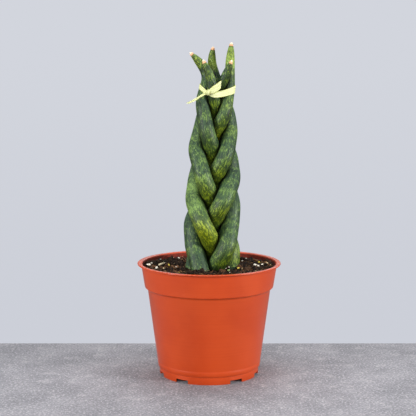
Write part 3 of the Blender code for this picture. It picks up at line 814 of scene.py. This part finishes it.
def lump(draw, ball, size, squash, rough):
    """One irregular lump's points, round the origin."""
    seed = Vector((draw.uniform(-50, 50), draw.uniform(-50, 50), draw.uniform(-50, 50)))
    swell = np.array([1 + rough * noise.noise(Vector(p) * SWELL_PITCH + seed) * SWELL for p in ball])
    turn = Matrix.Rotation(draw.uniform(0, math.pi), 3, Vector((draw.random(), draw.random(), 1.0)))
    tilt = Matrix.Rotation(draw.uniform(-LUMP_TILT, LUMP_TILT), 3, "X")
    shape = ball * swell[:, None] * np.array(squash) * size
    return shape @ np.array(tilt @ turn).T


def heap(name, material, pieces, subdivisions):
    """One mesh of many lumps: pieces are (points, place, shade)."""
    faces = icosphere(subdivisions)[1]
    count = len(pieces[0][0])
    points = np.concatenate([shape + np.array(place) for shape, place, shade in pieces])
    all_faces = np.concatenate([faces + k * count for k in range(len(pieces))])
    shades = np.repeat([shade for shape, place, shade in pieces], count)
    finished(name, points, all_faces.tolist(), material, "soil_mix", {"shade": shades})


def strew(
    name, material, draw, height, lift, count, subdivisions, sizes, widths, depths,
    small=1, inset=1.0, rough=0.35, dark=None,
):
    """Many lumps at random on the soil: the higher small and dark are, the rarer large and light ones get."""
    ball = icosphere(subdivisions)[0]
    pieces = []
    for _ in range(count):
        size = sizes[0] + (sizes[1] - sizes[0]) * draw.random() ** small
        place = scattered(draw, height, SOIL_RADIUS - inset * size)
        squash = (1.0, draw.uniform(*widths), draw.uniform(*depths))
        lifted = place + Vector((0.0, 0.0, lift(size, place)))
        shape = lump(draw, ball, size, squash, rough)
        pieces.append((shape, lifted, draw.random() ** dark if dark else 1.0))
    heap(name, material, pieces, subdivisions)


def make_loose_soil(height, mix_material):
    """Clods, crumbs and grains of soil, each kind smaller than the last, and chips of bark."""
    draw = random.Random(5)
    strew(
        "soil_clods", mix_material, draw, height, count=400, subdivisions=3, sizes=(0.0013, 0.0034),
        widths=(0.55, 0.95), depths=(0.45, 0.8), small=1.8, inset=0.8, rough=0.55, dark=2.5,
        lift=lambda size, place: draw.uniform(-0.2, 0.35) * size + BANKING * abs(place.x) / SOIL_RADIUS,
    )
    strew(
        "soil_crumbs", mix_material, draw, height, count=1500, subdivisions=2, sizes=(0.0005, 0.0014),
        widths=(0.6, 1.0), depths=(0.45, 0.9), small=2, rough=0.45, dark=2,
        lift=lambda size, place: draw.uniform(0.0, 0.0008),
    )
    strew(
        "soil_grains", mix_material, draw, height, count=5200, subdivisions=1, sizes=(0.00025, 0.00065),
        widths=(0.6, 1.0), depths=(0.5, 1.0), dark=1.5,
        lift=lambda size, place: draw.uniform(0.0, 0.0012),
    )
    bark = plain_bits("bark", linear(122, 82, 48), linear(50, 30, 18), 0.85)
    strew(
        "soil_bark", bark, draw, height, count=130, subdivisions=2, sizes=(0.0008, 0.0026),
        widths=(0.3, 0.55), depths=(0.12, 0.25), lift=lambda size, place: BARK_LIFT,
    )


def pixel_on_soil(tree, px, py):
    """The place on the soil that a pixel of the photograph shows, kept off the wall, or None."""
    x, y = (px - IMAGE / 2) / FOCAL_PX, (IMAGE / 2 - py) / FOCAL_PX
    cos, sin = math.cos(CAMERA_DOWN), math.sin(CAMERA_DOWN)
    ray = Vector((x, cos + y * sin, y * cos - sin))
    place = tree.ray_cast(CAMERA_AT, ray)[0]
    if place is None:
        return None
    away = math.hypot(place.x, place.y)
    over = min(1.0, (SOIL_RADIUS - BIT_INSET) / away)
    return Vector((place.x * over, place.y * over, place.z))


def make_bits(height):
    """The pale bits of the photograph, then more of each kind at random."""
    draw = random.Random(21)
    # As (light colour, dark colour, proportions, roughness)
    kinds = {
        "white": (linear(242, 238, 226), linear(178, 166, 142), (1, 0.62, 0.5), 0.6),
        "cream": (linear(214, 196, 150), linear(140, 112, 76), (1, 0.5, 0.4), 0.6),
        "sliver": (linear(236, 226, 196), linear(188, 168, 128), (1, 0.24, 0.2), 0.25),
        "yellow": (linear(236, 212, 84), linear(190, 160, 60), (0.8, 0.62, 0.55), 0.3),
        "husk": (linear(176, 128, 104), linear(110, 70, 52), (1, 0.5, 0.3), 0.5),
        "green": (linear(150, 176, 110), linear(92, 122, 60), (0.6, 0.6, 1.0), 0.2),
    }
    ball = icosphere(2)[0]
    tree = surface_tree(
        [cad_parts["soil"], bpy.data.objects["soil_clods"], bpy.data.objects["soil_crumbs"]]
    )
    seen = [(kind, pixel_on_soil(tree, px, py), size) for kind, px, py, size in PALE_BITS]
    wanted = [bit for bit in seen if bit[1] is not None]
    for kind, count in MORE_BITS:
        for _ in range(count):
            place = scattered(draw, height, SOIL_RADIUS - MORE_BITS_INSET)
            top = tree.ray_cast(place + ABOVE_HEAP, DOWN)[0]
            wanted.append((kind, top, draw.uniform(*BIT_SIZES)))
    for kind, (light, dark, squash, rough) in kinds.items():
        pieces = [
            (lump(draw, ball, size, squash, rough), place, BIT_SHADE)
            for its_kind, place, size in wanted
            if its_kind == kind
        ]
        heap("soil_%s_bits" % kind, plain_bits(kind + "_bits", light, dark, 0.75), pieces, 2)


def make_fibres(height):
    """Fine root and coir fibres that lie curled on the soil."""
    draw = random.Random(33)
    turn = full_turn(FIBRE_SIDES)
    shares = np.linspace(0, 1, FIBRE_STEPS)
    points, faces = [], []
    for _ in range(FIBRES):
        place = scattered(draw, height, SOIL_RADIUS - FIBRE_INSET)
        heading, bend = draw.uniform(0, 2 * math.pi), draw.uniform(-FIBRE_BEND, FIBRE_BEND)
        length, thick = draw.uniform(*FIBRE_LENGTHS), draw.uniform(*FIBRE_THICKNESSES)
        rings = []
        for k in range(FIBRE_STEPS):
            arch = FIBRE_ARCH * math.sin(math.pi * (k / (FIBRE_STEPS - 1))) * draw.uniform(0.8, 1.2)
            rings.append((place.x, place.y, place.z + FIBRE_LIFT + arch))
            place = place + Vector((math.cos(heading), math.sin(heading), 0.0)) * (length / FIBRE_STEPS)
            heading += bend * length / FIBRE_STEPS
        rings = np.array(rings)
        across, other = frames_along(rings)
        taper = thick * (1 - 0.5 * shares)
        first = len(points)
        for k in range(FIBRE_STEPS):
            for a in turn:
                points.append(rings[k] + taper[k] * (math.cos(a) * across[k] + math.sin(a) * other[k]))
        around = tube_faces(FIBRE_STEPS, FIBRE_SIDES)
        faces += [tuple(first + index for index in face) for face in around]
        faces.append(tuple(first + k for k in range(FIBRE_SIDES))[::-1])
        faces.append(tuple(len(points) - FIBRE_SIDES + k for k in range(FIBRE_SIDES)))
    tan = plain_bits("fibres", linear(176, 142, 96), linear(116, 84, 50), 0.7)
    finished("soil_fibres", points, faces, tan, "soil_mix")


# Tie

def tie_height(x, y, front_y):
    """The height of the loop's middle: higher towards the back and towards both ends."""
    bend = np.where(x < TIE_LOW_X, TIE_LEFT_CURVE, TIE_RIGHT_CURVE)
    return TIE_Z + TIE_BACK_RISE * (y - front_y) + bend * (x - TIE_LOW_X) ** 2


def tie_front(centres, radii):
    """The y of the frontmost leaf at the tie."""
    level = np.abs(centres[:, 2] - TIE_Z) < 2 * TIE_HALF_WIDTH
    return (centres[level, 1] - radii[level]).min()


def loop_edge(centres, radii, front_y, side):
    """One edge of the tightest loop round the leaves at the tie, 1 the upper and -1 the lower."""
    angles = full_turn(TIE_STEPS)
    around = np.stack([np.cos(angles), np.sin(angles)], axis=1)
    places = centres[:, None, :2] + (radii + TIE_GAP)[:, None, None] * around
    x, y = places[..., 0], places[..., 1]
    heights = tie_height(x, y, front_y) + side * (TIE_HALF_WIDTH + TIE_WIDENING * x)
    held = places[np.abs(centres[:, None, 2] - heights) < TIE_MARGIN]
    hull = held[convex_hull_2d([Vector(place) for place in held])]
    middle = np.array(TIE_MIDDLE)
    spans = np.roll(hull, -1, axis=0) - hull
    normals = unit(np.stack([spans[:, 1], -spans[:, 0]], axis=1))
    off_middle = ((hull - middle) * normals).sum(axis=1)
    facing = around @ normals.T
    to_side = off_middle / np.maximum(facing, LEAST_FACING)
    reach = np.where(facing > LEAST_FACING, to_side, FAR_OFF).min(axis=1)
    edge = []
    for x, y in middle + reach[:, None] * around:
        from_knot = math.hypot(x - KNOT_X, y - front_y)
        narrowed = 1 - KNOT_NARROWING * math.exp(-((from_knot / KNOT_REACH) ** 2))
        half = (TIE_HALF_WIDTH + TIE_WIDENING * x) * narrowed
        edge.append((x, y, float(tie_height(x, y, front_y)) + side * half))
    return edge


def ribbon(name, upper, lower, material, folds, seed, closed=False):
    """A raffia strip between two edges: thin, ridged lengthwise by its fibres, with a slight curl."""
    upper, lower = np.array(upper), np.array(lower)
    count = len(upper)
    middle = (upper + lower) / 2
    if closed:
        heading = unit(np.roll(middle, -1, axis=0) - np.roll(middle, 1, axis=0))
    else:
        heading = unit(np.gradient(middle, axis=0))
    width = upper - lower
    wide = np.linalg.norm(width, axis=1)
    face = unit(np.cross(heading, width))
    draw = random.Random(seed)
    share = np.linspace(0.0, 1.0, RIBBON_POINTS)
    steps = np.linalg.norm(np.diff(middle, axis=0, append=middle[:1] if closed else middle[-1:]), axis=1)
    along = np.concatenate([[0.0], np.cumsum(steps)[:-1]])
    ridge = np.array([draw.uniform(-1, 1) for _ in share])
    ridge = ridge - ridge.mean()
    relief = RIDGE * ridge * (0.7 + 0.3 * np.sin(along[:, None] * RIDGE_PITCH + 6 * share))
    relief = relief + folds * np.sin(2.5 * math.pi * share) * (FOLD_WIDTH / (wide[:, None] + FOLD_EASE))
    relief = relief + CURL * (1 - (2 * share - 1) ** 2)
    place = lower[:, None, :] + share[None, :, None] * width[:, None, :]
    front = place + (relief + RAFFIA / 2)[..., None] * face[:, None, :]
    back = place + (relief - RAFFIA / 2)[..., None] * face[:, None, :]
    section = np.concatenate([front, back[:, ::-1]], axis=1)
    both = np.concatenate([share, share[::-1]])
    rest = np.zeros(section.shape)
    rest[..., 0] = along[:, None] + RAFFIA_APART * seed
    rest[..., 1] = both * wide[:, None]
    border = np.abs(2 * both - 1) ** 4
    attributes = {"rest": rest.reshape(-1, 3), "border": np.tile(border, count)}
    ring = 2 * RIBBON_POINTS
    faces = tube_faces(count, ring)
    if closed:
        last = (count - 1) * ring
        faces += [(last + k, last + (k + 1) % ring, (k + 1) % ring, k) for k in range(ring)]
    else:
        faces += [tuple(range(ring))[::-1], tuple(range((count - 1) * ring, count * ring))]
    return finished(name, section.reshape(-1, 3), faces, material, "raffia", attributes)


def smoothed(points, between):
    """The same edge with rounded bends: a Catmull-Rom curve through its points."""
    points = [Vector(point) for point in points]
    ends = [2 * points[0] - points[1]] + points + [2 * points[-1] - points[-2]]
    curve = []
    for before, start, end, after in zip(ends, ends[1:], ends[2:], ends[3:]):
        for k in range(between):
            t = k / between
            bend = 2 * before - 5 * start + 4 * end - after
            curl = 3 * start - before - 3 * end + after
            curve.append(0.5 * (2 * start + (end - before) * t + bend * t**2 + curl * t**3))
    return curve + [points[-1]]


def make_tie(lines, raffia):
    """The loop round the leaves, the two tails and the knot."""
    centres, radii = (np.concatenate(values) for values in zip(*lines))
    front_y = tie_front(centres, radii)
    upper, lower = (loop_edge(centres, radii, front_y, side) for side in (1, -1))
    loop = ribbon("tie_loop", lower[::-1], upper[::-1], raffia, folds=0.00012, seed=2, closed=True)
    in_front = np.array(sorted((x, y) for x, y, z in upper + lower if y < 0))
    knot_y = float(np.interp(KNOT_X, in_front[:, 0], in_front[:, 1])) - KNOT_DEPTH
    for name, edges, seed in (("tie_wide_tail", WIDE_TAIL, 3), ("tie_thin_tail", THIN_TAIL, 4)):
        placed = [
            [(x + KNOT_X, knot_y - forward, z) for x, forward, z in smoothed(edge, TAIL_STEPS)]
            for edge in edges
        ]
        ribbon(name, *placed, raffia, folds=0.00030, seed=seed)
    make_knot(knot_y, raffia)
    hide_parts("tie")


def make_knot(knot_y, raffia):
    """Two turns of gathered raffia wound over each other."""
    for number, (tilt, radius, half) in enumerate(KNOT_TURNS):
        tilted = Matrix.Rotation(tilt, 3, "Y")
        edges = ([], [])
        for k in range(KNOT_STEPS):
            turn = 2 * math.pi * k / KNOT_STEPS
            ring = Vector((0.0, radius * math.cos(turn) * KNOT_FLATNESS, radius * math.sin(turn)))
            for edge, side in zip(edges, (half, -half)):
                place = tilted @ (ring + Vector((side * (1 - 0.2 * math.cos(turn)), 0.0, 0.0)))
                edge.append((KNOT_X + place.x, knot_y + place.y, KNOT_Z + place.z))
        ribbon("tie_knot_%d" % (number + 1), *edges, raffia, folds=0.00025, seed=7 + number, closed=True)


# Stage

def make_stage():
    bm = bmesh.new()
    size = Matrix.Diagonal((2 * SLAB_REACH, SLAB_REACH + SLAB_BACK, SLAB_THICK, 1.0))
    middle = Matrix.Translation((0.0, (SLAB_BACK - SLAB_REACH) / 2, -SLAB_THICK / 2))
    bmesh.ops.create_cube(bm, size=1.0, matrix=middle @ size)
    bmesh.ops.bevel(bm, geom=bm.edges[:], offset=SLAB_BEVEL, segments=3, affect="EDGES")
    slab = object_from("slab", bm)
    slab.data.materials.append(slab_stone())


def make_lights():
    for name, place, size, power in LIGHTS:
        data = bpy.data.lights.new(name, "AREA")
        data.shape = "RECTANGLE"
        data.size, data.size_y = size
        data.energy = power
        light = linked(name, data)
        light.location = place
        light.rotation_euler = (LIGHTS_AIM - Vector(place)).to_track_quat("-Z", "Y").to_euler()


def make_world():
    """A pale backdrop for the camera, and a dimmer even fill for the surfaces."""
    world = bpy.data.worlds.new("studio")
    bpy.context.scene.world = world
    world.use_nodes = True
    tree = world.node_tree
    tree.nodes.clear()
    heading = add(tree, "ShaderNodeTexCoord").outputs["Generated"]
    rise = add(tree, "ShaderNodeSeparateXYZ", {0: heading}).outputs["Z"]
    backdrop = mix(tree, ramp(tree, rise, -0.25, 0.05), linear(204, 207, 216), linear(210, 213, 221))
    seen = add(tree, "ShaderNodeBackground", {"Color": backdrop, "Strength": 1.0})
    fill = add(tree, "ShaderNodeBackground", {"Color": linear(226, 229, 234), "Strength": WORLD_FILL})
    to_camera = add(tree, "ShaderNodeLightPath").outputs["Is Camera Ray"]
    joined = add(tree, "ShaderNodeMixShader", {0: to_camera, 1: fill.outputs[0], 2: seen.outputs[0]})
    add(tree, "ShaderNodeOutputWorld", {"Surface": joined.outputs[0]})


def make_camera():
    """The photograph's camera, and plain colours in the picture."""
    data = bpy.data.cameras.new("camera")
    data.sensor_width = SENSOR
    data.lens = SENSOR * FOCAL_PX / IMAGE
    camera = linked("camera", data)
    camera.location = CAMERA_AT
    camera.rotation_euler = (math.pi / 2 - CAMERA_DOWN, 0.0, 0.0)
    bpy.context.scene.camera = camera
    bpy.context.scene.view_settings.view_transform = "Standard"


def main():
    make_camera()
    make_stage()
    make_lights()
    make_world()
    make_pot(pot_plastic())
    lines = [leaf_line(name) for name in LEAVES]
    skin = leaf_skin()
    for number, (name, zones) in enumerate(LEAVES.items()):
        make_leaf(name, zones, number, lines[number], skin)
    make_tie(lines, raffia_fibre())
    mix_material = soil_mix()
    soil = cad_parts["soil"]
    soil.data.materials.clear()
    soil.data.materials.append(mix_material)
    height = soil_finder()
    make_loose_soil(height, mix_material)
    make_bits(height)
    make_fibres(height)


main()
